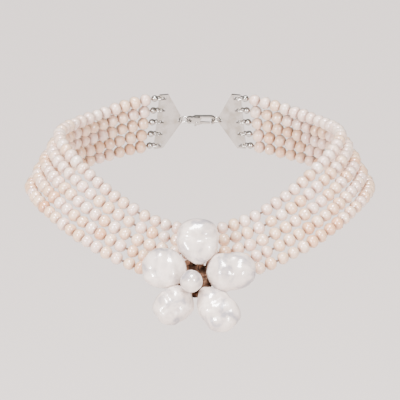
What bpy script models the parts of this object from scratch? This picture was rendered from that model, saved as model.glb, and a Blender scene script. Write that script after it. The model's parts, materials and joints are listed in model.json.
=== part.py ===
# A five-strand choker of small freshwater pearls with a flower of five baroque pearls at the front.
# Metres, +Z up. The origin is the middle of the neck, level with the top strand at the sides, and the front is -Y.

import math

import bmesh
import bpy
import numpy as np
from mathutils import Matrix, Vector

mm = 0.001

# the necklace as it is worn: the top strand follows an ellipse around the neck and dips at the front
neck_half_width = 58.5 * mm
neck_half_depth = 49.8 * mm
height_waves = (-5.8 * mm, -14.3 * mm, -5.4 * mm, -4.0 * mm)  # times cos 0, cos a, cos 2a and cos 3a
lean_waves = (31.5, 15.0, 2.0)  # degrees that the band leans outwards, in the same cosines
strand_count = 5
strand_pitch = 5.85 * mm
front_bend = math.radians(25)
side_bend = math.radians(95)
back_end = math.radians(159.2)

# small pearls, drilled and knotted on silk
pearl_radius = 2.75 * mm
pearl_pitch = 5.0 * mm
pearl_waist = 1.5 * mm
thread_radius = 0.4 * mm
bend_gap = 0.3 * mm
knot_length = 0.25 * mm

# spacer bar behind the flower
spacer_half_width = 1.6 * mm
spacer_half_depth = 1.6 * mm
spacer_overhang = 3.0 * mm
thread_hole_radius = 0.75 * mm

# flower: its own plane has u to the wearer's left, v up and w outwards
flower_centre = Vector((-2.0, -74.7, -43.0)) * mm
flower_tilt = math.radians(30)
petal_thickness = 9.4 * mm
petal_bore = 0.8 * mm
petal_bore_depth = 3.2 * mm
peg_radius = 0.4 * mm
peg_end_gap = 0.6 * mm
hub_radius = 2.4 * mm
hub_top = 1.2 * mm
disc_radius = 7.0 * mm
disc_front = -3.3 * mm
disc_thickness = 1.0 * mm
tongue_half_width = 2.0 * mm
tongue_overlap = 2.5 * mm
tongue_past_post = 1.5 * mm
post_radius = 0.8 * mm
post_gap = 0.3 * mm
post_depth = 0.5 * mm
socket_depth = 0.9 * mm
post_strand = 3.5  # the post meets the spacer bar this many strand pitches down
centre_pearl_radius = 4.5 * mm
centre_pearl_place = Vector((-1.4, -3.3, 6.9)) * mm
centre_foot = -1.4 * mm
petals = (
    # name, tip in the flower's plane, direction in degrees, length, width, fullness
    ("petal_top", (1.2 * mm, 5.2 * mm), 90, 19.6 * mm, 18.0 * mm, 0.8),
    ("petal_upper_left", (-3.4 * mm, 0.8 * mm), 160, 18.2 * mm, 17.6 * mm, 0.6),
    ("petal_upper_right", (3.9 * mm, 1.0 * mm), 9.5, 20.8 * mm, 15.8 * mm, 0.65),
    ("petal_lower_left", (-1.7 * mm, -4.4 * mm), 225, 18.2 * mm, 15.4 * mm, 0.65),
    ("petal_lower_right", (2.0 * mm, -3.8 * mm), -52, 21.4 * mm, 15.6 * mm, 0.75),
)

# bead tips and end bars
cup_profile = (  # (along, radius) in mm
    (1.6, 0), (1.6, 0.75), (0.3, 0.75), (0.3, 1.1), (0.9, 1.5), (1.7, 1.45), (2.4, 0.95), (2.75, 0.45), (2.75, 0)
)
tail_end = 1.2 * mm  # how far a strand's thread runs into its cup
ring_reach = 4.2 * mm  # from a strand's end to the middle of the bead tip's ring
ring_radius = 1.6 * mm
ring_wire = 0.35 * mm
bar_half_thickness = 0.5 * mm
bar_rod = 0.6 * mm
bar_end = 1.6 * mm
bar_shoulder = 3.4 * mm
bar_nose_turn = 62
slot_half_width = 0.75 * mm
slot_clearance = 0.5 * mm
bar_hole_reach = 9.8 * mm
bar_hole_radius = 0.95 * mm
bar_nose_radius = 1.55 * mm

# clasp
jump_ring_radius = 2.2 * mm
jump_ring_wire = 0.4 * mm
clasp_ring_radius = 1.8 * mm
clasp_ring_wire = 0.35 * mm
claw_half_thickness = 0.8 * mm
claw_inner = 1.15 * mm
claw_outer = 2.0 * mm
claw_body_half_thickness = 1.5 * mm
eye_radius = 1.6 * mm
eye_hole = 0.85 * mm
pivot_place = Vector((3.0, 0.0, -1.0)) * mm
rivet_radius = 0.4 * mm
rivet_gap = 0.1 * mm
rivet_head = (0.2 * mm, 0.6 * mm, 0.7 * mm)  # thickness, and the radius of its outer and inner edges
claw_play = 0.25 * mm
eye_arc = (55, 305)
claw_belly = ((2.0, -1.75), (4.6, -2.0), (4.6, 0), (5.2, 1.15))  # outlines below are (x, z) in mm
claw_back = ((4.2, 2.0), (2.0, 1.75))
cheeks = ((1.9, -1.7), (4.5, 1.6))
lever_slot = ((1.8, -0.7, -3.0), (5.6, 1.05, -0.05))  # opposite corners in mm
lever_hub_radius = 0.75 * mm
lever_half_thickness = 0.35 * mm
lever_thumb = ((1.9, -2.9), (2.7, -3.1), (3.1, -2.1))
lever_gate = ((5.0, -2.0), (-1.95, -1.15), (4.6, -0.85))  # its middle pair are the heights of the tip
spring_radius = 0.66 * mm
spring_wire = 0.09 * mm
spring_start = 0.52 * mm
spring_rise = 0.24 * mm
spring_turns = 1.5
through = 3.0 * mm  # cutters reach this far either side


# Materials

def principled(name, colour, roughness, metallic=0.0):
    material = bpy.data.materials.new(name)
    material.use_nodes = True
    shader = material.node_tree.nodes["Principled BSDF"]
    shader.inputs["Base Color"].default_value = (*colour, 1)
    shader.inputs["Roughness"].default_value = roughness
    shader.inputs["Metallic"].default_value = metallic
    material.diffuse_color = (*colour, 1)
    return material


# Objects

def add_object(name, data, material, place=None, pivot=None):
    """One sub-part. place turns its own axes into the world's, and pivot is the empty on its joint's axis."""
    thing = bpy.data.objects.new(name, data)
    bpy.context.scene.collection.objects.link(thing)
    if not data.materials:
        data.materials.append(material)
    thing.matrix_world = place or Matrix()
    if pivot:
        thing.parent = pivot
        thing.matrix_parent_inverse = Matrix.Translation(pivot.location).inverted()
    return thing


def add_pivot(name, location):
    pivot = bpy.data.objects.new(name, None)
    pivot.location = location
    pivot.empty_display_size = 3 * mm
    bpy.context.scene.collection.objects.link(pivot)
    return pivot


def axes(origin, x, y, z):
    """The matrix of a frame from its origin and its three axes."""
    matrix = Matrix((x, y, z)).transposed().to_4x4()
    matrix.translation = origin
    return matrix


def mesh_from(shape, name):
    """Turns a bmesh into a mesh with its faces pointing out and its round stretches shaded smooth."""
    bmesh.ops.remove_doubles(shape, verts=shape.verts, dist=0.002 * mm)
    bmesh.ops.recalc_face_normals(shape, faces=shape.faces)
    mesh = bpy.data.meshes.new(name)
    shape.to_mesh(mesh)
    shape.free()
    mesh.shade_smooth()
    mesh.set_sharp_from_angle(angle=math.radians(40))
    return mesh


def turned(name, profile, steps):
    """A profile of (along, radius) points, spun about its own X axis."""
    shape = bmesh.new()
    points = [shape.verts.new((along, radius, 0)) for along, radius in profile]
    edges = [shape.edges.new(pair) for pair in zip(points, points[1:])]
    bmesh.ops.spin(
        shape, geom=points + edges, cent=(0, 0, 0), axis=(1, 0, 0), angle=math.tau, steps=steps, use_merge=True
    )
    return mesh_from(shape, name)


def torus(name, radius, wire, steps, sides):
    """A round ring about its own Z axis."""
    shape = bmesh.new()
    ring = bmesh.ops.create_circle(shape, segments=sides, radius=wire, matrix=Matrix.Rotation(math.pi / 2, 4, "X"))
    bmesh.ops.translate(shape, verts=ring["verts"], vec=(radius, 0, 0))
    bmesh.ops.spin(
        shape, geom=shape.verts[:] + shape.edges[:], cent=(0, 0, 0), axis=(0, 0, 1), angle=math.tau, steps=steps,
        use_merge=True,
    )
    return mesh_from(shape, name)


def slab(name, outline, low, high):
    """A flat outline in X and Z, made into a solid from Y = low to Y = high."""
    shape = bmesh.new()
    face = shape.faces.new([shape.verts.new((x, low, z)) for x, z in outline])
    extruded = bmesh.ops.extrude_face_region(shape, geom=[face])
    top = [item for item in extruded["geom"] if isinstance(item, bmesh.types.BMVert)]
    bmesh.ops.translate(shape, verts=top, vec=(0, high - low, 0))
    return mesh_from(shape, name)


def box(name, low, high):
    outline = [(low[0], low[2]), (high[0], low[2]), (high[0], high[2]), (low[0], high[2])]
    return slab(name, outline, low[1], high[1])


def rod(name, radius, start, end, sides=12):
    """A round rod between two points."""
    start, end = Vector(start), Vector(end)
    along = end - start
    matrix = Matrix.Translation((start + end) / 2) @ along.to_track_quat("Z", "Y").to_matrix().to_4x4()
    shape = bmesh.new()
    bmesh.ops.create_cone(
        shape, cap_ends=True, segments=sides, radius1=radius, radius2=radius, depth=along.length, matrix=matrix
    )
    return mesh_from(shape, name)


def combine(thing, operation, meshes):
    """Joins solids to an object, or cuts them from it, each with its own hidden helper."""
    for mesh in meshes:
        helper = bpy.data.objects.new(mesh.name, mesh)
        helper.hide_render = True
        helper.display_type = "WIRE"
        bpy.context.scene.collection.objects.link(helper)
        helper.hide_set(True)
        helper.matrix_world = thing.matrix_world
        modifier = thing.modifiers.new(mesh.name, "BOOLEAN")
        modifier.operation = operation
        modifier.object = helper


def in_mm(points):
    return [tuple(value * mm for value in point) for point in points]


def arc(centre, radius, start, end, steps):
    """Points of a flat arc, from one angle in degrees to another."""
    turns = [math.radians(start + (end - start) * step / steps) for step in range(steps + 1)]
    return [(centre[0] + radius * math.cos(turn), centre[1] + radius * math.sin(turn)) for turn in turns]


# The shape of the worn necklace

def neck_point(angle):
    height = sum(wave * math.cos(times * angle) for times, wave in enumerate(height_waves))
    return Vector((neck_half_width * math.sin(angle), -neck_half_depth * math.cos(angle), height))


def band_direction(angle):
    """The way from the top strand to the lower ones: down, and leaning out from the neck."""
    outwards = Vector((neck_half_depth * math.sin(angle), -neck_half_width * math.cos(angle), 0)).normalized()
    lean = math.radians(sum(wave * math.cos(times * angle) for times, wave in enumerate(lean_waves)))
    return outwards * math.sin(lean) - Vector((0, 0, math.cos(lean)))


def strand_point(strand, angle):
    return neck_point(angle) + band_direction(angle) * strand * strand_pitch


def end_frame(side):
    """Axes where the strands end at the back: x on towards the clasp, y down across the strands."""
    angle = side * back_end
    step = math.radians(0.5)
    across = band_direction(angle)
    onward = neck_point(angle + side * step) - neck_point(angle)
    onward = (onward - across * onward.dot(across)).normalized()
    return axes(strand_point(0, angle), onward, across, onward.cross(across))


def bar_hole(side):
    """The middle of the end bar's clasp hole."""
    return end_frame(side) @ Vector((ring_reach + bar_hole_reach, (strand_count - 1) / 2 * strand_pitch, 0))


def clasp_frame(origin):
    """Axes of the clasp: x to the right, y out from the neck, z up along the leaning band."""
    up = -band_direction(math.pi)
    return axes(origin, Vector((1, 0, 0)), up.cross(Vector((1, 0, 0))), up)


def flower_frame_axes():
    up = Vector((0, math.sin(flower_tilt), math.cos(flower_tilt)))
    out = Vector((0, -math.cos(flower_tilt), math.sin(flower_tilt)))
    return axes(flower_centre, Vector((1, 0, 0)), up, out)


# Pearl strands

def pearls_between(start, end):
    """Distances and radii along a run of pearls, each drawn in to a waist at its ends."""
    count = round((end - start) / pearl_pitch)
    pitch = (end - start) / count
    points = [(start, pearl_waist)]
    for number in range(count):
        points += [(start + (number + 0.5) * pitch, pearl_radius), (start + (number + 1) * pitch, pearl_waist)]
    return points


def strand_piece(name, strand, start, end, material, pivot=None, spacer=False, tail=None):
    """One stretch of a strand, between two angles around the neck. tail is the point where its thread ends."""
    angles = np.linspace(start, end, 400)
    route = np.array([strand_point(strand, angle) for angle in angles])
    travelled = np.concatenate(([0], np.cumsum(np.linalg.norm(np.diff(route, axis=0), axis=1))))
    length = travelled[-1]
    first, last = bend_gap / 2, length - (0 if tail else bend_gap / 2)
    if spacer:
        middle = np.interp(0, angles, travelled)
        clear = spacer_half_width + bend_gap + knot_length
        points = pearls_between(first + knot_length, middle - clear)
        points += [(middle - clear + knot_length, thread_radius), (middle + clear - knot_length, thread_radius)]
        points += pearls_between(middle + clear, last - knot_length)
    else:
        points = pearls_between(first + knot_length, last - knot_length)
    points = [(first, thread_radius), *points, (last, thread_radius)]

    curve = bpy.data.curves.new(name, "CURVE")
    curve.dimensions = "3D"
    curve.bevel_depth = pearl_radius
    curve.bevel_resolution = 1
    curve.use_fill_caps = True
    spline = curve.splines.new("POLY")
    spline.points.add(len(points) - 1 + bool(tail))
    for point, (distance, radius) in zip(spline.points, points):
        place = [np.interp(distance, travelled, route[:, axis]) for axis in range(3)]
        point.co = (*place, 1)
        point.radius = radius / pearl_radius
    if tail:
        spline.points[-1].co = (*tail, 1)
        spline.points[-1].radius = thread_radius / pearl_radius
    return add_object(name, curve, material, pivot=pivot)


# Flower

def petal_profile(length, width, fullness):
    """A drop from its tip to its round end: half widths that follow a sine, fuller towards the end."""
    turns = [math.pi * step / 12 for step in range(13)]
    halves = [math.sin(turn) * math.sin(turn / 2) ** fullness for turn in turns]
    widest = max(halves)
    return [
        (length / 2 * (1 - math.cos(turn)), half / widest * width / 2 if 0 < step < 12 else 0)
        for step, (turn, half) in enumerate(zip(turns, halves))
    ]


def petal_frame(tip, turn):
    along = Matrix.Rotation(math.radians(turn), 4, "Z")
    return flower_frame_axes() @ Matrix.Translation((tip[0], tip[1], 0)) @ along


def make_petal(name, tip, turn, length, width, fullness, material):
    mesh = turned(name, petal_profile(length, width, fullness), 14)
    mesh.transform(Matrix.Diagonal((1, 1, petal_thickness / width, 1)))
    petal = add_object(name, mesh, material, petal_frame(tip, turn))
    combine(petal, "DIFFERENCE", [rod(name + "_bore", petal_bore, (-petal_bore, 0, 0), (petal_bore_depth, 0, 0))])


def petal_peg(name, tip, turn):
    """A peg on the petal's own axis, from beside the hub's middle to inside the petal's bore."""
    direction = Vector((math.cos(math.radians(turn)), math.sin(math.radians(turn)), 0))
    tip = Vector((*tip, 0))
    start = tip - direction * tip.dot(direction)
    return rod(name, peg_radius, start, tip + direction * (petal_bore_depth - peg_end_gap))


def spacer_axes():
    """The spacer bar's frame: y down across the strands, z out."""
    across = band_direction(0)
    return axes(strand_point(0, 0), Vector((1, 0, 0)), across, Vector((1, 0, 0)).cross(across))


def make_flower(pearl_material, metal):
    """The petals and the centre pearl on the pegs of a darkened disc, whose post stands in the spacer bar."""
    frame = flower_frame_axes()
    into = frame.inverted()
    back = disc_front - disc_thickness
    post_at = spacer_axes() @ Vector((flower_centre.x, post_strand * strand_pitch, 0))
    post_out = -spacer_axes().to_3x3().col[2]
    post_start = into @ (post_at + post_out * (spacer_half_depth - post_depth))
    plane_reach = (back + disc_thickness / 2 - post_start.z) / (into.to_3x3() @ post_out).z
    post_end = post_start + (into.to_3x3() @ post_out) * plane_reach

    disc = rod("flower_frame", disc_radius, (0, 0, back), (0, 0, disc_front), 24)
    body = add_object("flower_frame", disc, metal, frame)
    tongue_low = (-tongue_half_width, disc_radius - tongue_overlap, back)
    tongue_high = (tongue_half_width, max(disc_radius, post_end.y) + tongue_past_post, disc_front)
    front_foot = Vector((centre_pearl_place.x, centre_foot, 0))
    front_top = centre_pearl_place - Vector((0, 0, centre_pearl_radius - petal_bore_depth + peg_end_gap))
    pieces = [
        rod("hub", hub_radius, (0, 0, disc_front - disc_thickness / 2), (0, 0, hub_top), 16),
        box("tongue", tongue_low, tongue_high),
        rod("rear_post", post_radius, post_start, post_end),
        rod("front_peg", peg_radius, front_foot, front_top),
    ]
    pieces += [petal_peg("peg_" + name, tip, turn) for name, tip, turn, *size in petals]
    combine(body, "UNION", pieces)

    for name, tip, turn, length, width, fullness in petals:
        make_petal(name, tip, turn, length, width, fullness, pearl_material)

    shape = bmesh.new()
    bmesh.ops.create_uvsphere(shape, u_segments=16, v_segments=10, radius=centre_pearl_radius)
    pearl_place = frame @ Matrix.Translation(centre_pearl_place)
    pearl = add_object("flower_centre_pearl", mesh_from(shape, "flower_centre_pearl"), pearl_material, pearl_place)
    down = (front_foot - front_top).normalized()
    inner = front_top - centre_pearl_place - down * peg_end_gap
    bore = rod("centre_bore", petal_bore, inner, inner + down * 2 * centre_pearl_radius)
    combine(pearl, "DIFFERENCE", [bore])


def make_spacer_bar(metal):
    place = spacer_axes()
    length = (strand_count - 1) * strand_pitch
    low = (-spacer_half_width, -spacer_overhang, -spacer_half_depth)
    high = (spacer_half_width, length + spacer_overhang, spacer_half_depth)
    bar = add_object("spacer_bar", box("spacer_bar", low, high), metal, place)
    holes = [
        rod(f"thread_hole_{strand + 1}", thread_hole_radius, (-through, y, 0), (through, y, 0))
        for strand, y in enumerate(strand * strand_pitch for strand in range(strand_count))
    ]
    floor = Vector((flower_centre.x, post_strand * strand_pitch, socket_depth - spacer_half_depth))
    socket = rod("post_socket", post_radius + post_gap, floor, floor - Vector((0, 0, through)))
    combine(bar, "DIFFERENCE", holes + [socket])


# Back ends

def bead_tip_mesh():
    """A clamshell cup that holds the knot, drawn out to a closed ring."""
    cup = turned("bead_tip_cup", in_mm(cup_profile), 8)
    ring = torus("bead_tip_ring", ring_radius, ring_wire, 14, 6)
    # the ring turns about the same line as the bar that hangs in it
    ring.transform(Matrix.Translation((ring_reach, 0, 0)) @ Matrix.Rotation(math.pi / 2, 4, "X"))
    helper = bpy.data.objects.new("bead_tip_shape", cup)
    bpy.context.scene.collection.objects.link(helper)
    combine(helper, "UNION", [ring])
    graph = bpy.context.evaluated_depsgraph_get()
    mesh = bpy.data.meshes.new_from_object(helper.evaluated_get(graph))
    mesh.name = "bead_tip"
    bpy.data.objects.remove(bpy.data.objects["bead_tip_ring"])
    bpy.data.objects.remove(helper)
    return mesh


def make_end_bar(name, side, metal, pivot):
    """A fan-shaped bar: a rod that runs through the five rings, slots for them, and one hole at its nose."""
    place = end_frame(side) @ Matrix.Translation((ring_reach, 0, 0))
    length = (strand_count - 1) * strand_pitch
    middle = length / 2
    nose = arc((bar_hole_reach, middle), bar_nose_radius, -bar_nose_turn, bar_nose_turn, 6)
    far_end = length + bar_end
    outline = [(-bar_rod, -bar_end), (bar_shoulder, -bar_end), *nose, (bar_shoulder, far_end), (-bar_rod, far_end)]
    mesh = slab(name, outline, -bar_half_thickness, bar_half_thickness)
    mesh.transform(Matrix(((1, 0, 0, 0), (0, 0, 1, 0), (0, -1, 0, 0), (0, 0, 0, 1))))
    bar = add_object(name, mesh, metal, place, pivot)
    cuts = []
    for strand in range(strand_count):
        y = strand * strand_pitch
        low = (bar_rod, y - slot_half_width, -through)
        high = (ring_radius + ring_wire + slot_clearance, y + slot_half_width, through)
        cuts.append(box(f"{name}_slot_{strand + 1}", low, high))
    hole_ends = [(bar_hole_reach, middle, side_of_bar * through) for side_of_bar in (-1, 1)]
    cuts.append(rod(name + "_hole", bar_hole_radius, *hole_ends))
    combine(bar, "DIFFERENCE", cuts)


# Clasp

def make_claw(place, reach, metal, pivot):
    """The clasp's fixed half. Its eye is at the frame's origin and its claw holds a ring at x = reach."""
    centre = (reach + jump_ring_wire + claw_play - claw_inner, 0)
    eye = arc((0, 0), eye_radius, *eye_arc, 12)
    inner = arc(centre, claw_inner, 90, -90, 10)
    outer = arc(centre, claw_outer, -90, 90, 12)
    outline = eye + in_mm(claw_belly) + inner + outer + in_mm(claw_back)
    mesh = slab("clasp_body", outline, -claw_half_thickness, claw_half_thickness)
    claw = add_object("clasp_body", mesh, metal, place, pivot)
    (low_x, low_z), (high_x, high_z) = in_mm(cheeks)
    low = (low_x, -claw_body_half_thickness, low_z)
    high = (high_x, claw_body_half_thickness, high_z)
    combine(claw, "UNION", [box("clasp_cheeks", low, high)])
    x, z = pivot_place.x, pivot_place.z
    slot = box("lever_slot", *in_mm(lever_slot))
    hole = rod("rivet_hole", rivet_radius + rivet_gap, (x, -through, z), (x, through, z))
    eye_cut = rod("clasp_eye", eye_hole, (0, -through, 0), (0, through, 0), 16)
    combine(claw, "DIFFERENCE", [slot, hole, eye_cut])
    return centre


def make_lever(place, centre, metal, pivot):
    """The gate and its thumb piece, turning on the rivet."""
    x, z = pivot_place.x, pivot_place.z
    tip = centre[0] - claw_play
    hub = arc((x, z), lever_hub_radius, 70, 190, 6)
    first, heights, last = in_mm(lever_gate)
    gate = [first, (tip, heights[0]), (tip, heights[1]), last]
    mesh = slab("clasp_lever", hub + in_mm(lever_thumb) + gate, -lever_half_thickness, lever_half_thickness)
    lever = add_object("clasp_lever", mesh, metal, place, pivot)
    hole = rod("lever_hole", rivet_radius + rivet_gap, (x, -through, z), (x, through, z))
    combine(lever, "DIFFERENCE", [hole])


def make_rivet(place, metal, pivot):
    reach = claw_body_half_thickness + rivet_gap
    head, outer, inner = rivet_head
    profile = [(-reach - head, 0), (-reach - head, outer), (-reach, inner), (-reach, rivet_radius)]
    profile += [(-along, radius) for along, radius in reversed(profile)]
    mesh = turned("clasp_rivet", profile, 12)
    mesh.transform(Matrix.Translation(pivot_place) @ Matrix.Rotation(math.pi / 2, 4, "Z"))
    add_object("clasp_rivet", mesh, metal, place, pivot)


def make_spring(place, metal, pivot):
    """A small coil round the rivet, beside the lever, that keeps the gate shut."""
    steps = 14
    curve = bpy.data.curves.new("clasp_spring", "CURVE")
    curve.dimensions = "3D"
    curve.bevel_depth = spring_wire
    curve.bevel_resolution = 1
    curve.use_fill_caps = True
    spline = curve.splines.new("POLY")
    spline.points.add(round(spring_turns * steps))
    for number, point in enumerate(spline.points):
        turn = math.tau * number / steps
        across = spring_start + spring_rise * number / steps
        offset = Vector((spring_radius * math.cos(turn), across, spring_radius * math.sin(turn)))
        point.co = (*(pivot_place + offset), 1)
    add_object("clasp_spring", curve, metal, place, pivot)


def main():
    for thing in list(bpy.data.objects):
        bpy.data.objects.remove(thing)

    small_pearl = principled("small_freshwater_pearl", (0.83, 0.74, 0.68), 0.28)
    petal_pearl = principled("baroque_pearl", (0.80, 0.77, 0.76), 0.22)
    plated = principled("silver_plated_brass", (0.78, 0.77, 0.75), 0.25, 1.0)
    aged = principled("darkened_brass", (0.18, 0.11, 0.08), 0.4, 1.0)
    steel = principled("spring_steel", (0.5, 0.5, 0.52), 0.35, 1.0)

    for strand in range(strand_count):
        name = f"strand_{strand + 1}_front"
        strand_piece(name, strand, -front_bend, front_bend, small_pearl, spacer=True)
    make_spacer_bar(plated)
    make_flower(petal_pearl, aged)

    bead_tip = bead_tip_mesh()
    bead_tip.materials.append(plated)
    middle_strand = (strand_count - 1) / 2
    pivots = {}
    for side, word in ((1, "right"), (-1, "left")):
        bar_axis = end_frame(side) @ Vector((ring_reach, middle_strand * strand_pitch, 0))
        side_pivot = add_pivot(f"{word}_front_bend", strand_point(middle_strand, side * front_bend))
        back_pivot = add_pivot(f"{word}_side_bend", strand_point(middle_strand, side * side_bend))
        bar_pivot = add_pivot(f"{word}_bar_swing", bar_axis)
        for strand in range(strand_count):
            number = strand + 1
            strand_piece(
                f"strand_{number}_{word}_side", strand, side * front_bend, side * side_bend, small_pearl, side_pivot
            )
            tip_place = end_frame(side) @ Matrix.Translation((0, strand * strand_pitch, 0))
            strand_piece(
                f"strand_{number}_{word}_back", strand, side * side_bend, side * back_end, small_pearl, back_pivot,
                tail=tip_place @ Vector((tail_end, 0, 0)),
            )
            add_object(f"bead_tip_{word}_{number}", bead_tip, plated, tip_place, back_pivot)
        make_end_bar(f"{word}_end_bar", side, plated, bar_pivot)

    # the clasp lies on the straight line between the two bars' holes
    left_hole, right_hole = bar_hole(-1), bar_hole(1)
    jump_ring_place = clasp_frame(left_hole + Vector((jump_ring_radius, 0, 0)))
    clasp_ring_place = clasp_frame(right_hole - Vector((clasp_ring_radius, 0, 0)))
    claw_place = clasp_frame(left_hole + Vector((2 * jump_ring_radius, 0, 0)))
    reach = right_hole.x - left_hole.x - 2 * jump_ring_radius - 2 * clasp_ring_radius
    clasp_pivot = add_pivot("clasp_swing", jump_ring_place.translation)
    lever_pivot = add_pivot("lever_press", claw_place @ pivot_place)
    ring_pivot = add_pivot("clasp_ring_turn", clasp_ring_place.translation)
    jump_ring = torus("clasp_jump_ring", jump_ring_radius, jump_ring_wire, 20, 8)
    add_object("clasp_jump_ring", jump_ring, plated, jump_ring_place, clasp_pivot)
    claw_centre = make_claw(claw_place, reach, plated, clasp_pivot)
    make_lever(claw_place, claw_centre, plated, lever_pivot)
    make_rivet(claw_place, plated, clasp_pivot)
    make_spring(claw_place, steel, clasp_pivot)
    clasp_ring = torus("clasp_ring", clasp_ring_radius, clasp_ring_wire, 20, 8)
    add_object("clasp_ring", clasp_ring, plated, clasp_ring_place, ring_pivot)


main()
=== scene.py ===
import json
import math
import random

import bmesh
import bpy
import numpy as np
from mathutils import Matrix, Vector


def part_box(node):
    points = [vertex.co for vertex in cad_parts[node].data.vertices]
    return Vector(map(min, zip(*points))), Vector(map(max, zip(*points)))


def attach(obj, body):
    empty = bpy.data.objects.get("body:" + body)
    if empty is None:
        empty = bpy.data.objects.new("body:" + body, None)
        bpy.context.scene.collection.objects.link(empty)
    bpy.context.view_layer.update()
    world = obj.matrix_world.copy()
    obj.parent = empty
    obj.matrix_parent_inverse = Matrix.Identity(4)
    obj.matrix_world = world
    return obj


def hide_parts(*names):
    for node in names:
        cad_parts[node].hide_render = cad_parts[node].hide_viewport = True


# A five-strand freshwater pearl choker with a flower of baroque pearls, dressed over its CAD frame.
# Everything is in metres, with the front of the necklace at -Y.

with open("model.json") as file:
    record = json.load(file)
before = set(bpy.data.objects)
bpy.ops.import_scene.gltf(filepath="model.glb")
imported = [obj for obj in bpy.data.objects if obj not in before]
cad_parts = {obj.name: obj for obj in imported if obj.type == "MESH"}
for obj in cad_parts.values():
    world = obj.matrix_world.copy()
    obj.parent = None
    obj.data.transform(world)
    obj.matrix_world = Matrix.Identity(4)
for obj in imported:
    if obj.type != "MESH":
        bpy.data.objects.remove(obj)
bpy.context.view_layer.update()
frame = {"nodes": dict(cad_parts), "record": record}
nodes = frame["nodes"]
mm = 0.001
dice = random.Random(11)


def toLinear(hexColour):
    values = [int(hexColour[start:start + 2], 16) / 255 for start in (1, 3, 5)]
    linear = [value / 12.92 if value <= 0.04045 else ((value + 0.055) / 1.055) ** 2.4 for value in values]
    return (*linear, 1)


def addNode(material, kind, settings=None, inputs=None, links=None):
    # one node: settings are its properties, inputs its socket values, links its sockets' sources
    node = material.node_tree.nodes.new(kind)
    for name, value in (settings or {}).items():
        setattr(node, name, value)
    for name, value in (inputs or {}).items():
        node.inputs[name].default_value = value
    for name, source in (links or {}).items():
        material.node_tree.links.new(source, node.inputs[name])
    return node


def fillRamp(ramp, stops):
    # stops run from low to high, each a position and a hex colour
    low = ramp.color_ramp.elements[0]
    low.position = stops[0][0]
    low.color = toLinear(stops[0][1])
    high = ramp.color_ramp.elements[1]
    high.position = stops[-1][0]
    high.color = toLinear(stops[-1][1])
    for position, colour in stops[1:-1]:
        between = ramp.color_ramp.elements.new(position)
        between.color = toLinear(colour)


def newMaterial(name):
    material = bpy.data.materials.new(name)
    material.use_nodes = True
    material.node_tree.nodes.clear()
    return material


def finishMaterial(material, shader):
    addNode(material, "ShaderNodeOutputMaterial", links={"Surface": shader.outputs["BSDF"]})
    return material


def deselectAll():
    bpy.ops.object.select_all(action="DESELECT")


def makeActive(piece):
    deselectAll()
    piece.select_set(True)
    bpy.context.view_layer.objects.active = piece


def applyPlace(piece):
    makeActive(piece)
    bpy.ops.object.transform_apply(location=True, rotation=True, scale=True)


def selectPoints(piece, chosen):
    # goes into edit mode with just the points selected that chosen(place) picks
    makeActive(piece)
    bpy.ops.object.mode_set(mode="EDIT")
    bpy.ops.mesh.select_mode(type="VERT")
    bpy.ops.mesh.select_all(action="DESELECT")
    bpy.ops.object.mode_set(mode="OBJECT")
    for vert in piece.data.vertices:
        vert.select = bool(chosen(vert.co))
    bpy.ops.object.mode_set(mode="EDIT")


def addModifier(piece, kind, **settings):
    modifier = piece.modifiers.new(kind.title(), kind)
    for name, value in settings.items():
        setattr(modifier, name, value)
    makeActive(piece)
    bpy.ops.object.modifier_apply(modifier=modifier.name)


def finishPiece(piece, material, body, slotName, *replaced):
    # gives a finished piece its material and its body, and hides the CAD nodes it stands for; slotName is
    # not used
    piece.data.materials.clear()
    piece.data.materials.append(material)
    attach(piece, body)
    if replaced:
        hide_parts(*replaced)


def bodyOf(nodeName):
    bodies = frame["record"]["behaviour"]["bodies"]
    return next(body for body, members in bodies.items() if nodeName in members)


smallPearlLook = {
    "bodies": ((0.0, "#F3E1D0"), (0.3, "#F1D4C4"), (0.5, "#F0CFAF"), (0.75, "#E9BB94"), (1.0, "#D8A077")),
    "clouds": ((0.35, "#D9CBC6"), (0.6, "#FFFFFF")),
    "cloudScale": 500,         # nacre clouds about 2 mm across
    "cloudDepth": 0.35,
    # the darker brown round the drill holes: stain, and painted shade between neighbouring pearls
    "stainAndShade": "#85583F",
    "pitScale": 1500,          # growth pits about 0.7 mm apart, drawn as coarse as they need to show
    "pitDepth": 0.12 * mm,
    "roughness": 0.28,
    "nacreIor": 1.6,
    "film": 330,               # nanometres, for a pink and green orient at the rims
}


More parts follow.
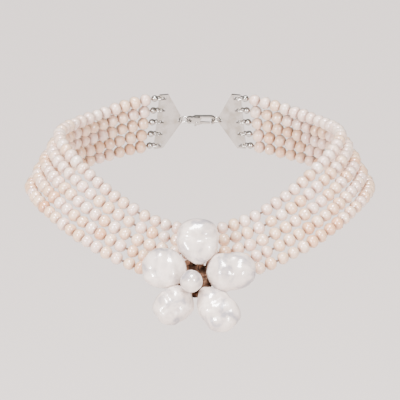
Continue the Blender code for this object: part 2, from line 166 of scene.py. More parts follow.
def makeSmallPearl():
    # Freshwater pearl, natural nacre, tumbled clean: cream, pink and peach bodies under a satin lustre.
    # pearlTint is one number for each pearl, so no two neighbours have quite the same body colour.
    look = smallPearlLook
    material = newMaterial("freshwaterNacre")
    place = addNode(material, "ShaderNodeTexCoord").outputs["Object"]
    tint = addNode(material, "ShaderNodeAttribute", {"attribute_name": "pearlTint"})
    body = addNode(material, "ShaderNodeValToRGB", links={"Fac": tint.outputs["Fac"]})
    fillRamp(body, look["bodies"])
    clouds = addNode(
        material, "ShaderNodeTexNoise",
        inputs={"Scale": look["cloudScale"], "Detail": 3}, links={"Vector": place},
    )
    cloudColour = addNode(material, "ShaderNodeValToRGB", links={"Fac": clouds.outputs["Fac"]})
    fillRamp(cloudColour, look["clouds"])
    # a colour Mix has its factor at socket 0 and its two colours at 6 and 7, and gives its colour at 2
    cloudTone = addNode(
        material, "ShaderNodeMix", {"data_type": "RGBA", "blend_type": "MULTIPLY"},
        {0: look["cloudDepth"]}, {6: body.outputs["Color"], 7: cloudColour.outputs["Color"]},
    )
    # round the drill holes the nacre is thin and the silk has stained it; the darker brown there is also
    # painted shade, for the shade between neighbouring pearls on the thread
    hole = addNode(material, "ShaderNodeAttribute", {"attribute_name": "holeShade"})
    stainAndShade = addNode(
        material, "ShaderNodeMix", {"data_type": "RGBA"},
        {7: toLinear(look["stainAndShade"])}, {0: hole.outputs["Fac"], 6: cloudTone.outputs[2]},
    )
    pits = addNode(
        material, "ShaderNodeTexNoise",
        inputs={"Scale": look["pitScale"], "Detail": 2}, links={"Vector": place},
    )
    bump = addNode(
        material, "ShaderNodeBump",
        inputs={"Strength": 0.55, "Distance": look["pitDepth"]}, links={"Height": pits.outputs["Fac"]},
    )
    shader = addNode(
        material, "ShaderNodeBsdfPrincipled",
        inputs={
            "Roughness": look["roughness"], "IOR": look["nacreIor"],
            "Subsurface Weight": 0.1, "Subsurface Scale": 0.8 * mm, "Subsurface Radius": (1.0, 0.7, 0.55),
            "Coat Weight": 0.8, "Coat Roughness": 0.1, "Coat IOR": look["nacreIor"],
            "Thin Film Thickness": look["film"], "Thin Film IOR": 1.68,
        },
        links={"Base Color": stainAndShade.outputs[2], "Normal": bump.outputs["Normal"]},
    )
    return finishMaterial(material, shader)


petalPearlLook = {
    "bodies": ((0.36, "#A0979B"), (0.48, "#D6C5BC"), (0.66, "#F2E1D6")),
    "bandScale": 150,          # bands of thick and thin nacre, 6 to 8 mm across, their grey partly painted reflection
    "swellScale": 320,         # soft swells about 3 mm across
    "swellDepth": 0.5 * mm,
    "lineScale": 900,          # growth lines about 1 mm apart, drawn as coarse as they need to show
    "lineDepth": 0.15 * mm,
    "roughness": 0.3,
    "nacreIor": 1.68,
    "film": 380,               # nanometres
}


def makePetalPearl():
    # Baroque freshwater pearl, thick uneven nacre: a white body with grey bands at random, partly the
    # nacre's own tone and partly painted reflection of a darker room, and a sharper lustre.
    look = petalPearlLook
    material = newMaterial("baroqueNacre")
    place = addNode(material, "ShaderNodeTexCoord").outputs["Object"]
    bands = addNode(
        material, "ShaderNodeTexNoise",
        inputs={"Scale": look["bandScale"], "Detail": 4, "Roughness": 0.55, "Distortion": 0.6},
        links={"Vector": place},
    )
    body = addNode(material, "ShaderNodeValToRGB", links={"Fac": bands.outputs["Fac"]})
    fillRamp(body, look["bodies"])
    swell = addNode(
        material, "ShaderNodeTexNoise",
        inputs={"Scale": look["swellScale"], "Detail": 2}, links={"Vector": place},
    )
    softBump = addNode(
        material, "ShaderNodeBump",
        inputs={"Strength": 0.35, "Distance": look["swellDepth"]}, links={"Height": swell.outputs["Fac"]},
    )
    lines = addNode(
        material, "ShaderNodeTexNoise",
        inputs={"Scale": look["lineScale"], "Detail": 3, "Distortion": 1.2}, links={"Vector": place},
    )
    bump = addNode(
        material, "ShaderNodeBump",
        inputs={"Strength": 0.18, "Distance": look["lineDepth"]},
        links={"Height": lines.outputs["Fac"], "Normal": softBump.outputs["Normal"]},
    )
    shader = addNode(
        material, "ShaderNodeBsdfPrincipled",
        inputs={
            "Roughness": look["roughness"], "IOR": look["nacreIor"],
            "Subsurface Weight": 0.08, "Subsurface Scale": 1.2 * mm, "Subsurface Radius": (1.0, 0.8, 0.75),
            "Coat Weight": 1.0, "Coat Roughness": 0.06, "Coat IOR": look["nacreIor"],
            "Thin Film Thickness": look["film"], "Thin Film IOR": 1.68,
        },
        links={"Base Color": body.outputs["Color"], "Normal": bump.outputs["Normal"]},
    )
    return finishMaterial(material, shader)


silkLook = {
    # dark browns: the silk's colour, and painted shade for the gaps between pearls
    "shades": ((0.0, "#4F3729"), (1.0, "#795A47")),
    "plyScale": 500,           # the ply of the twist, drawn as coarse as it needs to show
    "plyDepth": 0.1 * mm,
    "roughness": 0.75,
}


def makeSilk():
    # Twisted silk beading thread, dull, taupe darkened to a brown well below the pearls so the knots read as
    # gaps: painted shade for the gaps between pearls.
    look = silkLook
    material = newMaterial("taupeSilkAndGapShade")
    place = addNode(material, "ShaderNodeTexCoord").outputs["Object"]
    ply = addNode(
        material, "ShaderNodeTexWave", {"wave_type": "BANDS", "bands_direction": "DIAGONAL"},
        {"Scale": look["plyScale"], "Distortion": 2}, {"Vector": place},
    )
    body = addNode(material, "ShaderNodeValToRGB", links={"Fac": ply.outputs["Fac"]})
    fillRamp(body, look["shades"])
    bump = addNode(
        material, "ShaderNodeBump",
        inputs={"Strength": 0.5, "Distance": look["plyDepth"]}, links={"Height": ply.outputs["Fac"]},
    )
    shader = addNode(
        material, "ShaderNodeBsdfPrincipled",
        inputs={"Roughness": look["roughness"], "Sheen Weight": 0.4},
        links={"Base Color": body.outputs["Color"], "Normal": bump.outputs["Normal"]},
    )
    return finishMaterial(material, shader)


metalLooks = {
    # silver-plated brass, barrel polished: bright, with a slightly warm haze where the plating is thin
    "silverPlatedBrass": {
        "bright": "#CFCCC8", "dull": "#B5AFA6", "roughness": (0.16, 0.26),
        "wearScale": 260,      # hazy places about 4 mm across
        "scratchDepth": 0.006 * mm,
    },
    # brass, dark brown with lighter places at random: its darkness is painted shade, for the shade in the
    # gaps between the petals
    "darkBrassGapShade": {
        "bright": "#6E5040", "dull": "#2C1F18", "roughness": (0.35, 0.55),
        "wearScale": 600,      # lighter places about 2 mm across
        "scratchDepth": 0.05 * mm,
    },
    # music wire, drawn: a cool grey
    "drawnSpringWire": {
        "bright": "#B9BCC0", "dull": "#8F9296", "roughness": (0.2, 0.32),
        "wearScale": 800,      # streaks about 1 mm across
        "scratchDepth": 0.02 * mm,
    },
}


def makePolishedMetal(name):
    # a metal whose colour and polish wander a little between two tones, with fine scratches
    look = metalLooks[name]
    material = newMaterial(name)
    place = addNode(material, "ShaderNodeTexCoord").outputs["Object"]
    wear = addNode(
        material, "ShaderNodeTexNoise",
        inputs={"Scale": look["wearScale"], "Detail": 4}, links={"Vector": place},
    )
    body = addNode(material, "ShaderNodeValToRGB", links={"Fac": wear.outputs["Fac"]})
    fillRamp(body, ((0.35, look["dull"]), (0.6, look["bright"])))
    smoothest, roughest = look["roughness"]
    polish = addNode(
        material, "ShaderNodeMapRange",
        inputs={"To Min": smoothest, "To Max": roughest}, links={"Value": wear.outputs["Fac"]},
    )
    scratches = addNode(
        material, "ShaderNodeTexNoise",
        inputs={"Scale": 6 * look["wearScale"], "Detail": 2}, links={"Vector": place},
    )
    bump = addNode(
        material, "ShaderNodeBump",
        inputs={"Strength": 0.3, "Distance": look["scratchDepth"]},
        links={"Height": scratches.outputs["Fac"]},
    )
    shader = addNode(
        material, "ShaderNodeBsdfPrincipled", inputs={"Metallic": 1.0},
        links={
            "Base Color": body.outputs["Color"],
            "Roughness": polish.outputs["Result"],
            "Normal": bump.outputs["Normal"],
        },
    )
    return finishMaterial(material, shader)


print("materials")
smallPearl = makeSmallPearl()
petalPearl = makePetalPearl()
silk = makeSilk()
silverPlate = makePolishedMetal("silverPlatedBrass")
gapShadeBrass = makePolishedMetal("darkBrassGapShade")
springWire = makePolishedMetal("drawnSpringWire")


strandSizes = {
    "widest": 5.85 * mm,       # across a pearl, so that neighbours in two strands just miss
    "spread": 0.08,            # how much pearls differ in width
    "flattest": 0.06,          # how much narrower a pearl may be one way than the other
    "pearlLength": 0.97,       # a pearl's length next to the space between two knots
    "lean": 0.1,               # how far a pearl tilts on the thread
    "peach": 0.8,              # how far into the peach tones the top strand's pearls reach
    "paintedWarmthPerStrand": 0.06,    # how much further each strand below it does, as painted warm reflection bounced between the strands
    "knot": 1.15 * mm,         # across a silk knot
    "knotSpread": 0.15,        # how much knots differ
    "knotSquash": 0.8,         # a knot's length next to its width
    "endGap": 2 * mm,          # no knot is tied this near the end of a stretch
    "bendKnot": 1.05 * mm,     # across the knot that joins two stretches
    "bendKnotOut": 0.15 * mm,  # how far past the stretch's end that knot sits
    "backBend": -20 * mm,      # a side stretch's end behind this Y meets a back stretch
    "thread": 0.32 * mm,       # the thread's radius
}
tubeSizes = {
    # how the CAD strand is drawn: a six-sided tube, narrow where the thread is bare
    "sides": 6,
    "weld": 0.005 * mm,
    "threadReach": 0.9 * mm,   # one bare ring fits within this of each of its points
    "pearlRing": 0.9,          # a ring this near the widest is a pearl's middle
}


def ringsOf(node):
    # walks the CAD strand ring by ring, and gives each ring's middle and radius
    shape = bmesh.new()
    shape.from_mesh(nodes[node].data)
    bmesh.ops.remove_doubles(shape, verts=shape.verts, dist=tubeSizes["weld"])
    ringAt = {}
    for vert in shape.verts:
        ringAt[vert] = {
            other for other in shape.verts if (other.co - vert.co).length < tubeSizes["threadReach"]
        }
    # the bare thread shows only at the two ends: starts at the one furthest round the neck
    ends = [vert for vert in shape.verts if len(ringAt[vert]) == tubeSizes["sides"]]
    layer = ringAt[max(ends, key=lambda vert: abs(math.atan2(vert.co.x, -vert.co.y)))]
    seen = set(layer)
    rings = []
    while layer:
        middle = sum((vert.co for vert in layer), Vector()) / len(layer)
        radius = sum((vert.co - middle).length for vert in layer) / len(layer)
        rings.append((middle, radius))
        layer = {edge.other_vert(vert) for vert in layer for edge in vert.link_edges} - seen
        seen |= layer
    shape.free()
    return rings


pearlForms = (
    # width, depth, how full the upper end is, and how far a growth ring pinches it
    (1.0, 1.0, 1.0, 1.0),      # round
    (1.0, 0.94, 1.03, 1.0),    # button
    (0.95, 1.0, 0.95, 1.0),    # oval
    (1.0, 0.9, 1.07, 0.96),    # potato, ringed a little
    (0.93, 0.98, 0.93, 1.0),   # potato
    (1.0, 0.97, 1.0, 0.93),    # ringed
)
pearlBands = {
    # heights on a shape one unit long, from its middle
    "end": (0.4, 0.48, 1.1),       # the ends are blunter than a sphere's
    "shoulder": (0.3, 0.4, 1.05),
    "half": (0.1, 0.48),
    "growthRing": (0.1, 0.3),
    "holeStainAndShade": (0.3, 0.2, 0.75),  # where the stain and painted shade start, how far they run, and their strength
}


def resizeBand(pearl, low, high, factor):
    # draws in or lets out the points between two heights
    selectPoints(pearl, lambda place: low < place.z < high)
    bpy.ops.transform.resize(value=(factor, factor, 1))
    bpy.ops.object.mode_set(mode="OBJECT")


def modelPearlShapes():
    # each shape is a small sphere worked by hand into one of the forms
    shapes = []
    for number, (width, depth, fullness, ring) in enumerate(pearlForms):
        deselectAll()
        bpy.ops.mesh.primitive_uv_sphere_add(segments=12, ring_count=8, radius=0.5)
        pearl = bpy.context.object
        pearl.name = f"pearlShape{number + 1}"
        selectPoints(pearl, lambda place: True)
        bpy.ops.transform.resize(value=(width, depth, 1))
        bpy.ops.object.mode_set(mode="OBJECT")
        for low, high, factor in (pearlBands["end"], pearlBands["shoulder"]):
            resizeBand(pearl, low, high, factor)
            resizeBand(pearl, -high, -low, factor)
        low, high = pearlBands["half"]
        resizeBand(pearl, low, high, fullness)
        resizeBand(pearl, -high, -low, 2 - fullness)
        resizeBand(pearl, *pearlBands["growthRing"], ring)
        start, run, strength = pearlBands["holeStainAndShade"]
        shades = []
        for vert in pearl.data.vertices:
            height = min(0.5, abs(vert.co.z))
            shades.append(strength * max(0.0, (height - start) / run) ** 1.5)
        holeShade = pearl.data.attributes.new("holeShade", "FLOAT", "POINT")
        holeShade.data.foreach_set("value", shades)
        bpy.ops.object.shade_smooth()
        shapes.append(pearl)
    return shapes


def modelKnot():
    deselectAll()
    bpy.ops.mesh.primitive_uv_sphere_add(segments=8, ring_count=6, radius=0.5)
    knot = bpy.context.object
    knot.name = "knotShape"
    selectPoints(knot, lambda place: True)
    bpy.ops.transform.resize(value=(1, 1, strandSizes["knotSquash"]))
    bpy.ops.object.mode_set(mode="OBJECT")
    bpy.ops.object.shade_smooth()
    return knot


def joinedCopies(name, places):
    # places holds (shape, matrix, tint): each copy has its own mesh, and all are joined into one piece
    copies = []
    for shape, matrix, tint in places:
        copied = shape.copy()
        copied.data = shape.data.copy()
        copied.data.transform(matrix)
        copied.matrix_world = Matrix()
        tints = copied.data.attributes.new("pearlTint", "FLOAT", "POINT")
        tints.data.foreach_set("value", [tint] * len(copied.data.vertices))
        bpy.context.scene.collection.objects.link(copied)
        copies.append(copied)
    deselectAll()
    for copied in copies:
        copied.select_set(True)
    bpy.context.view_layer.objects.active = copies[0]
    bpy.ops.object.join()
    piece = bpy.context.object
    piece.name = name
    return piece


def standing(middle, direction, width, depth, length, roll):
    # a shape's own Z along the thread, turned about it by roll
    turn = direction.to_track_quat("Z", "Y").to_matrix().to_4x4()
    scale = Matrix.Diagonal((width, depth, length, 1))
    return Matrix.Translation(middle) @ turn @ Matrix.Rotation(roll, 4, "Z") @ scale


def tintFor(strand):
    # the lower strands are drawn warmer, more cream and peach, than the top ones: painted warm reflection of
    # light bounced between the strands, added to each pearl's own tone drawn at random
    return min(1.0, strandSizes["peach"] * dice.betavariate(2, 3) + strandSizes["paintedWarmthPerStrand"] * strand)


def knotPlace(middle, direction, size):
    return standing(middle, direction, size, size, size, 0)


def pearlPlace(before, middle, after):
    # one pearl between two knots, with its own width, depth, tilt and roll
    direction = (after - before).normalized()
    length = (after - before).length * strandSizes["pearlLength"]
    width = strandSizes["widest"] * (1 - strandSizes["spread"] * dice.random())
    depth = width * (1 - strandSizes["flattest"] * dice.random())
    leaning = Vector((dice.uniform(-1, 1), dice.uniform(-1, 1), dice.uniform(-1, 1))) * strandSizes["lean"]
    shape = dice.choice(pearlShapes)
    roll = dice.uniform(0, math.tau)
    return shape, standing(middle, (direction + leaning).normalized(), width, depth, length, roll)


def bendKnots(node, rings):
    # the knot that two stretches share belongs to the one nearer the flower
    knots = []
    for end, inner in ((rings[0][0], rings[2][0]), (rings[-1][0], rings[-3][0])):
        meetsBack = node.endswith("side") and end.y > strandSizes["backBend"]
        if node.endswith("front") or meetsBack:
            outward = (end - inner).normalized()
            middle = end + outward * strandSizes["bendKnotOut"]
            knots.append((knotShape, knotPlace(middle, outward, strandSizes["bendKnot"]), 0.0))
    return knots


def modelStrand(node):
    strand = int(node.split("_")[1]) - 1
    rings = ringsOf(node)
    widestRing = max(radius for middle, radius in rings)
    pearls = []
    knots = []
    for before, ring, after in zip(rings, rings[1:], rings[2:]):
        if ring[1] < tubeSizes["pearlRing"] * widestRing:
            continue
        shape, place = pearlPlace(before[0], ring[0], after[0])
        pearls.append((shape, place, tintFor(strand)))
        # one knot after each pearl, but none where the stretch ends
        if (after[0] - rings[-1][0]).length > strandSizes["endGap"]:
            spread = strandSizes["knotSpread"]
            size = strandSizes["knot"] * dice.uniform(1 - spread, 1 + spread)
            direction = (after[0] - before[0]).normalized()
            knots.append((knotShape, knotPlace(after[0], direction, size), 0.0))
    knots += bendKnots(node, rings)
    body = bodyOf(node)
    finishPiece(joinedCopies("pearls_" + node, pearls), smallPearl, body, "small_pearls", node)
    finishPiece(joinedCopies("knots_" + node, knots), silk, body, "small_pearls")
    return len(pearls)


def modelThread(node):
    # the silk that runs through every pearl of one stretch, along the middles of its rings
    rings = ringsOf(node)
    curve = bpy.data.curves.new("thread_" + node, "CURVE")
    curve.dimensions = "3D"
    curve.bevel_depth = strandSizes["thread"]
    curve.bevel_resolution = 1
    curve.use_fill_caps = True
    spline = curve.splines.new("POLY")
    spline.points.add(len(rings) - 1)
    for point, (middle, radius) in zip(spline.points, rings):
        point.co = (*middle, 1)
    thread = bpy.data.objects.new("thread_" + node, curve)
    bpy.context.scene.collection.objects.link(thread)
    makeActive(thread)
    bpy.ops.object.convert(target="MESH")
    finishPiece(thread, silk, bodyOf(node), "small_pearls")


print("strands")
pearlShapes = modelPearlShapes()
knotShape = modelKnot()
strandNodes = sorted(name for name in nodes if name.startswith("strand_"))
pearlCount = 0
for node in strandNodes:
    pearlCount += modelStrand(node)
    modelThread(node)
for shape in pearlShapes + [knotShape]:
    bpy.data.objects.remove(shape)
print(pearlCount, "small pearls")


def lyingAxes(node, outer):
    # how a petal's CAD solid lies and its size: X runs from its tip to its round end, Z out of the flower
    points = np.array([vert.co for vert in nodes[node].data.vertices])
    middle = points.mean(axis=0)
    turned = np.linalg.svd(points - middle, full_matrices=False)[2]
    along, flat = Vector(turned[0]), Vector(turned[2])
    low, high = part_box("flower_frame")
    if along.dot(Vector(middle) - (low + high) / 2) < 0:
        along.negate()
    if flat.dot(outer) < 0:
        flat.negate()
    across = flat.cross(along)
    axes = np.array([along, across, flat])
    local = (points - middle) @ axes.T
    size = local.max(axis=0) - local.min(axis=0)
    centre = middle + (local.max(axis=0) + local.min(axis=0)) / 2 @ axes
    matrix = Matrix((along, across, flat)).transposed().to_4x4()
    matrix.translation = centre
    return matrix, Vector(size)


petalLooks = {
    # lump is the swell of the surface, and blunt how much the end near the centre pearl is let out.
    # folds are growth lines pinched in across the petal: the place along it, how much of the thickness
    # is left, how far the pinch reaches, and its slant.
    "petal_top": {"lump": 1.2 * mm, "blunt": 1.32, "folds": ((0.05, 0.84, 1.9 * mm, 0.15),)},
    "petal_upper_left": {"lump": 1.3 * mm, "blunt": 1.3, "folds": ((-0.15, 0.88, 2.0 * mm, -0.5),)},
    "petal_upper_right": {"lump": 1.1 * mm, "blunt": 1.6, "folds": ((0.2, 0.92, 2.0 * mm, 0.4),)},
    "petal_lower_left": {
        "lump": 1.4 * mm, "blunt": 1.25,
        "folds": ((0.1, 0.9, 1.8 * mm, 0.3), (0.6, 0.92, 1.4 * mm, -0.2)),
    },
    "petal_lower_right": {
        "lump": 1.2 * mm, "blunt": 1.2,
        "folds": ((-0.25, 0.91, 1.8 * mm, 0.2), (0.45, 0.92, 1.5 * mm, 0.3)),
    },
}
nacreSizes = {
    "fit": 1.02,               # a petal before it is drawn onto its CAD solid, next to that solid
    "innerEnd": -0.37,         # where the end near the centre pearl starts, as a share of the length
    "innerReach": 0.5,         # how far along the petal letting that end out is felt
    "foldWidth": 0.07,         # half the width of a growth line, as a share of half the length
    "swell": 6 * mm,           # how far apart the swells and the dimples are
    "dimple": 2.2 * mm,
    "dimpleDepth": 0.25 * mm,
    "centreSwell": 4 * mm,
    "centreLump": 0.5 * mm,
}


def cloudTexture(name, size):
    texture = bpy.data.textures.new(name, "CLOUDS")
    texture.noise_scale = size
    texture.noise_depth = 1
    return texture


def scaleSoftly(petal, value, reach):
    # resizes what is selected along the petal's own axes, fading out within reach
    bpy.ops.transform.resize(
        value=value, orient_type="LOCAL", use_proportional_edit=True,
        proportional_edit_falloff="SMOOTH", proportional_size=reach,
    )
    bpy.ops.object.mode_set(mode="OBJECT")


def swellSurface(pearl, name, size, depth):
    texture = cloudTexture(name, size)
    addModifier(pearl, "DISPLACE", texture=texture, texture_coords="GLOBAL", strength=depth, mid_level=0.5)


def modelPetal(node, look):
    matrix, size = lyingAxes(node, Vector((0, -1, 0.5)))
    middle = matrix.translation
    deselectAll()
    bpy.ops.mesh.primitive_uv_sphere_add(segments=48, ring_count=32, radius=0.5)
    petal = bpy.context.object
    petal.name = "nacre_" + node
    petal.matrix_world = matrix
    selectPoints(petal, lambda place: True)
    # the sphere's poles go to the tip and the round end, then it takes the size of the CAD petal
    bpy.ops.transform.rotate(value=math.pi / 2, orient_axis="Y", orient_type="LOCAL", center_override=middle)
    bpy.ops.transform.resize(value=size * nacreSizes["fit"], orient_type="LOCAL", center_override=middle)
    bpy.ops.object.mode_set(mode="OBJECT")
    addModifier(petal, "SHRINKWRAP", target=nodes[node], wrap_method="NEAREST_SURFACEPOINT")
    addModifier(petal, "SMOOTH", factor=0.5, iterations=6)

    selectPoints(petal, lambda place: place.x < nacreSizes["innerEnd"] * size.x)
    scaleSoftly(petal, (1, look["blunt"], look["blunt"]), nacreSizes["innerReach"] * size.x)
    for along, thickness, reach, slant in look["folds"]:
        def onFold(place):
            line = along + slant * 2 * place.y / size.y
            return abs(2 * place.x / size.x - line) < nacreSizes["foldWidth"]

        selectPoints(petal, onFold)
        scaleSoftly(petal, (1, (3 + thickness) / 4, thickness), reach)

    swellSurface(petal, "swell_" + node, nacreSizes["swell"], look["lump"])
    swellSurface(petal, "dimples_" + node, nacreSizes["dimple"], nacreSizes["dimpleDepth"])
    addModifier(petal, "SUBSURF", levels=1, render_levels=1)
    applyPlace(petal)
    bpy.ops.object.shade_smooth()
    finishPiece(petal, petalPearl, bodyOf(node), "baroque_pearls", node)


def modelCentrePearl():
    node = "flower_centre_pearl"
    low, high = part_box(node)
    deselectAll()
    bpy.ops.mesh.primitive_uv_sphere_add(
        segments=40, ring_count=28, radius=(high - low).x / 2, location=(low + high) / 2
    )
    pearl = bpy.context.object
    pearl.name = "nacre_centre_pearl"
    applyPlace(pearl)
    swellSurface(pearl, "swell_centre", nacreSizes["centreSwell"], nacreSizes["centreLump"])
    makeActive(pearl)
    bpy.ops.object.shade_smooth()
    finishPiece(pearl, petalPearl, bodyOf(node), "baroque_pearls", node)


print("flower")
for node, look in petalLooks.items():
    modelPetal(node, look)
modelCentrePearl()


tipSizes = {
    "ballRadius": 1.45 * mm,   # the clamshell, closed over the strand's last knot
    "ballPlace": 1.5 * mm,     # its middle, from the strand's end
    "ringPlace": 4.2 * mm,     # the loop's middle, from the strand's end
    "ringRadius": 1.6 * mm,    # to the middle of its wire
    "ringWire": 0.35 * mm,     # the wire's own radius
    "seam": 0.93,              # the ball's width left at the line where the two cups meet
    "seamReach": 0.01 * mm,
    "thinnest": 1.0 * mm,      # only the clamshell stands out this far on the CAD tip's thin side
}


def modelBeadTip():
    # along X from the strand's end: a clamshell ball and the closed loop drawn out of it
    deselectAll()
    bpy.ops.mesh.primitive_uv_sphere_add(
        segments=24, ring_count=16, radius=tipSizes["ballRadius"], location=(tipSizes["ballPlace"], 0, 0)
    )
    ball = bpy.context.object
    applyPlace(ball)
    # the seam runs round the ball's middle, where the cups close
    selectPoints(ball, lambda place: abs(place.z) < tipSizes["seamReach"])
    bpy.ops.transform.resize(value=(tipSizes["seam"], tipSizes["seam"], 1))
    bpy.ops.object.mode_set(mode="OBJECT")
    bpy.ops.mesh.primitive_torus_add(
        major_segments=28, minor_segments=10,
        major_radius=tipSizes["ringRadius"], minor_radius=tipSizes["ringWire"],
        location=(tipSizes["ringPlace"], 0, 0), rotation=(math.pi / 2, 0, 0),
    )
    ring = bpy.context.object
    applyPlace(ring)
    deselectAll()
    ring.select_set(True)
    ball.select_set(True)
    bpy.context.view_layer.objects.active = ball
    bpy.ops.object.join()
    bpy.ops.object.shade_smooth()
    ball.name = "beadTipShape"
    return ball


def beadTipPlace(node):
    # the CAD tip is longest along its own X, and its ring makes it wider in Z than in Y
    points = np.array([vert.co for vert in nodes[node].data.vertices])
    middle = points.mean(axis=0)
    axes = np.linalg.svd(points - middle, full_matrices=False)[2]
    along, wide, thin = (Vector(axis) for axis in axes)
    # the clamshell is the thick end, so X points away from what stands furthest out in Y
    local = (points - middle) @ np.array([along, thin]).T
    if local[np.abs(local[:, 1]) > tipSizes["thinnest"], 0].mean() > 0:
        along.negate()
    reach = ((points - middle) @ np.array(along)).max()
    end = tipSizes["ringPlace"] + tipSizes["ringRadius"] + tipSizes["ringWire"]
    matrix = Matrix((along, wide.cross(along), wide)).transposed().to_4x4()
    matrix.translation = Vector(middle) + along * (reach - end)
    return matrix


def copyBeadTip(node, shape):
    tip = shape.copy()
    tip.data = shape.data.copy()
    tip.data.transform(beadTipPlace(node))
    tip.name = "finish_" + node
    bpy.context.scene.collection.objects.link(tip)
    finishPiece(tip, silverPlate, bodyOf(node), "plated_metal", node)


ringSizes = {
    # each ring's radius to the middle of its wire, and the wire's own radius
    "clasp_jump_ring": (2.2 * mm, 0.4 * mm),
    "clasp_ring": (1.8 * mm, 0.35 * mm),
}


def modelRing(node):
    # a closed wire ring in the plane that its CAD solid lies in
    radius, wire = ringSizes[node]
    points = np.array([vert.co for vert in nodes[node].data.vertices])
    middle = (points.max(axis=0) + points.min(axis=0)) / 2
    axis = Vector(np.linalg.svd(points - points.mean(axis=0), full_matrices=False)[2][2])
    deselectAll()
    bpy.ops.mesh.primitive_torus_add(
        major_segments=40, minor_segments=12, major_radius=radius, minor_radius=wire, location=middle,
        rotation=axis.to_track_quat("Z", "Y").to_euler(),
    )
    ring = bpy.context.object
    ring.name = "finish_" + node
    applyPlace(ring)
    bpy.ops.object.shade_smooth()
    finishPiece(ring, silverPlate, bodyOf(node), "plated_metal", node)


castParts = {
    # how far each edge is rounded, and what is taken off all round to keep moving parts clear
    # the frame's dark brown stands in as painted shade between the petals
    "flower_frame": {"bevel": 0.15 * mm, "trim": 0.0, "metal": gapShadeBrass, "slot": "darkened_metal"},
    "spacer_bar": {"bevel": 0.3 * mm, "trim": 0.0, "metal": silverPlate, "slot": "plated_metal"},
    "left_end_bar": {"bevel": 0.12 * mm, "trim": 0.0, "metal": silverPlate, "slot": "plated_metal"},
    "right_end_bar": {"bevel": 0.12 * mm, "trim": 0.0, "metal": silverPlate, "slot": "plated_metal"},
    "clasp_body": {"bevel": 0.15 * mm, "trim": 0.03 * mm, "metal": silverPlate, "slot": "plated_metal"},
    "clasp_lever": {"bevel": 0.1 * mm, "trim": 0.0, "metal": silverPlate, "slot": "plated_metal"},
    "clasp_rivet": {"bevel": 0.08 * mm, "trim": 0.0, "metal": silverPlate, "slot": "plated_metal"},
}


softening = {
    "weld": 0.002 * mm,
    "flat": 1,                 # degrees: faces that meet at less than this are one flat face
    "edge": 35,                # degrees: edges sharper than this are rounded
}


def softenedCopy(node, part):
    # a CAD solid with its edges rounded as casting and tumbling leave them
    piece = bpy.data.objects.new("finish_" + node, nodes[node].data.copy())
    bpy.context.scene.collection.objects.link(piece)
    makeActive(piece)
    bpy.ops.object.mode_set(mode="EDIT")
    bpy.ops.mesh.select_all(action="SELECT")
    bpy.ops.mesh.remove_doubles(threshold=softening["weld"])
    bpy.ops.mesh.dissolve_limited(angle_limit=math.radians(softening["flat"]))
    if part["trim"]:
        bpy.ops.transform.shrink_fatten(value=-part["trim"], use_even_offset=True)
    bpy.ops.mesh.normals_make_consistent(inside=False)
    bpy.ops.object.mode_set(mode="OBJECT")
    addModifier(
        piece, "BEVEL", width=part["bevel"], segments=2, limit_method="ANGLE",
        angle_limit=math.radians(softening["edge"]), use_clamp_overlap=True,
    )
    addModifier(piece, "TRIANGULATE", quad_method="BEAUTY", ngon_method="BEAUTY")
    makeActive(piece)
    bpy.ops.object.shade_smooth_by_angle(angle=math.radians(softening["edge"]))
    addModifier(piece, "WEIGHTED_NORMAL", keep_sharp=True, weight=80)
    finishPiece(piece, part["metal"], bodyOf(node), part["slot"], node)


print("findings")
for node, part in castParts.items():
    softenedCopy(node, part)
beadTipShape = modelBeadTip()
for node in sorted(nodes):
    if node.startswith("bead_tip_"):
        copyBeadTip(node, beadTipShape)
bpy.data.objects.remove(beadTipShape)
for node in ringSizes:
    modelRing(node)
# the spring inside the clasp is drawn as its CAD solid, in wire
nodes["clasp_spring"].data.materials.clear()
nodes["clasp_spring"].data.materials.append(springWire)


stage = {
    "elevation": 13,           # degrees, looking down on the front
    "distance": 1.5,
    "frameWidth": 0.166,       # what the picture takes in across, at the necklace
    "lookAt": (0, -10 * mm, -26 * mm),
    "floorDrop": 0.16,         # the neck would hold the necklace this far above a table
    "floorSize": 12,
    "floor": "#D6CAC5",
    "overhead": 7.8,           # strength of the diffuser
    "overheadSpread": 20,      # degrees across the diffuser
    "lightAim": (0, -20 * mm, -30 * mm),
    "softboxes": {
        "leftBox": {"place": (-0.7, -1.0, 0.35), "size": (0.22, 0.34), "watts": 24},
        "rightBox": {"place": (0.6, -1.05, 0.3), "size": (0.2, 0.3), "watts": 15},
    },
    "room": ((0.0, "#8C8886"), (0.35, "#918F8F"), (0.9, "#FFFFFF")),
    "roomLight": 0.45,
}


def addCamera():
    data = bpy.data.cameras.new("camera")
    data.lens = data.sensor_width * stage["distance"] / stage["frameWidth"]
    camera = bpy.data.objects.new("camera", data)
    lift = math.radians(stage["elevation"])
    target = Vector(stage["lookAt"])
    camera.location = target + Vector((0, -math.cos(lift), math.sin(lift))) * stage["distance"]
    camera.rotation_euler = (target - camera.location).to_track_quat("-Z", "Y").to_euler()
    data.clip_end = 20
    bpy.context.scene.collection.objects.link(camera)
    bpy.context.scene.camera = camera


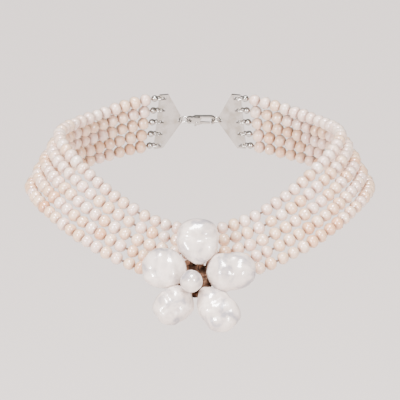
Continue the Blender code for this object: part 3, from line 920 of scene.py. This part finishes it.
def addSoftbox(name, box):
    data = bpy.data.lights.new(name, "AREA")
    data.shape = "RECTANGLE"
    data.size = box["size"][0]
    data.size_y = box["size"][1]
    data.energy = box["watts"]
    light = bpy.data.objects.new(name, data)
    light.location = box["place"]
    aim = Vector(stage["lightAim"]) - light.location
    light.rotation_euler = aim.to_track_quat("-Z", "Y").to_euler()
    bpy.context.scene.collection.objects.link(light)


def addOverhead():
    # a wide sun stands for the big diffuser over the table, and lights the whole floor evenly
    data = bpy.data.lights.new("overheadDiffuser", "SUN")
    data.energy = stage["overhead"]
    data.angle = math.radians(stage["overheadSpread"])
    light = bpy.data.objects.new("overheadDiffuser", data)
    light.rotation_euler = Vector((-0.1, -0.32, 1)).to_track_quat("Z", "Y").to_euler()
    bpy.context.scene.collection.objects.link(light)


def addFloor():
    deselectAll()
    bpy.ops.mesh.primitive_plane_add(size=stage["floorSize"], location=(0, 0, -stage["floorDrop"]))
    floor = bpy.context.object
    floor.name = "floor"
    # matt card, unprinted: plain and pale
    material = newMaterial("mattCard")
    shader = addNode(
        material, "ShaderNodeBsdfPrincipled",
        inputs={"Base Color": toLinear(stage["floor"]), "Roughness": 0.9},
    )
    floor.data.materials.append(finishMaterial(material, shader))


def addWorld():
    # a pale room: white overhead, greyer towards the walls, so that nacre has something to reflect
    world = bpy.data.worlds.new("softRoom")
    world.use_nodes = True
    tree = world.node_tree
    background = tree.nodes["Background"]
    place = tree.nodes.new("ShaderNodeTexCoord")
    split = tree.nodes.new("ShaderNodeSeparateXYZ")
    room = tree.nodes.new("ShaderNodeValToRGB")
    tree.links.new(place.outputs["Generated"], split.inputs["Vector"])
    tree.links.new(split.outputs["Z"], room.inputs["Fac"])
    tree.links.new(room.outputs["Color"], background.inputs["Color"])
    fillRamp(room, stage["room"])
    background.inputs["Strength"].default_value = stage["roomLight"]
    bpy.context.scene.world = world


print("stage")
addCamera()
addOverhead()
for name, box in stage["softboxes"].items():
    addSoftbox(name, box)
addWorld()
addFloor()
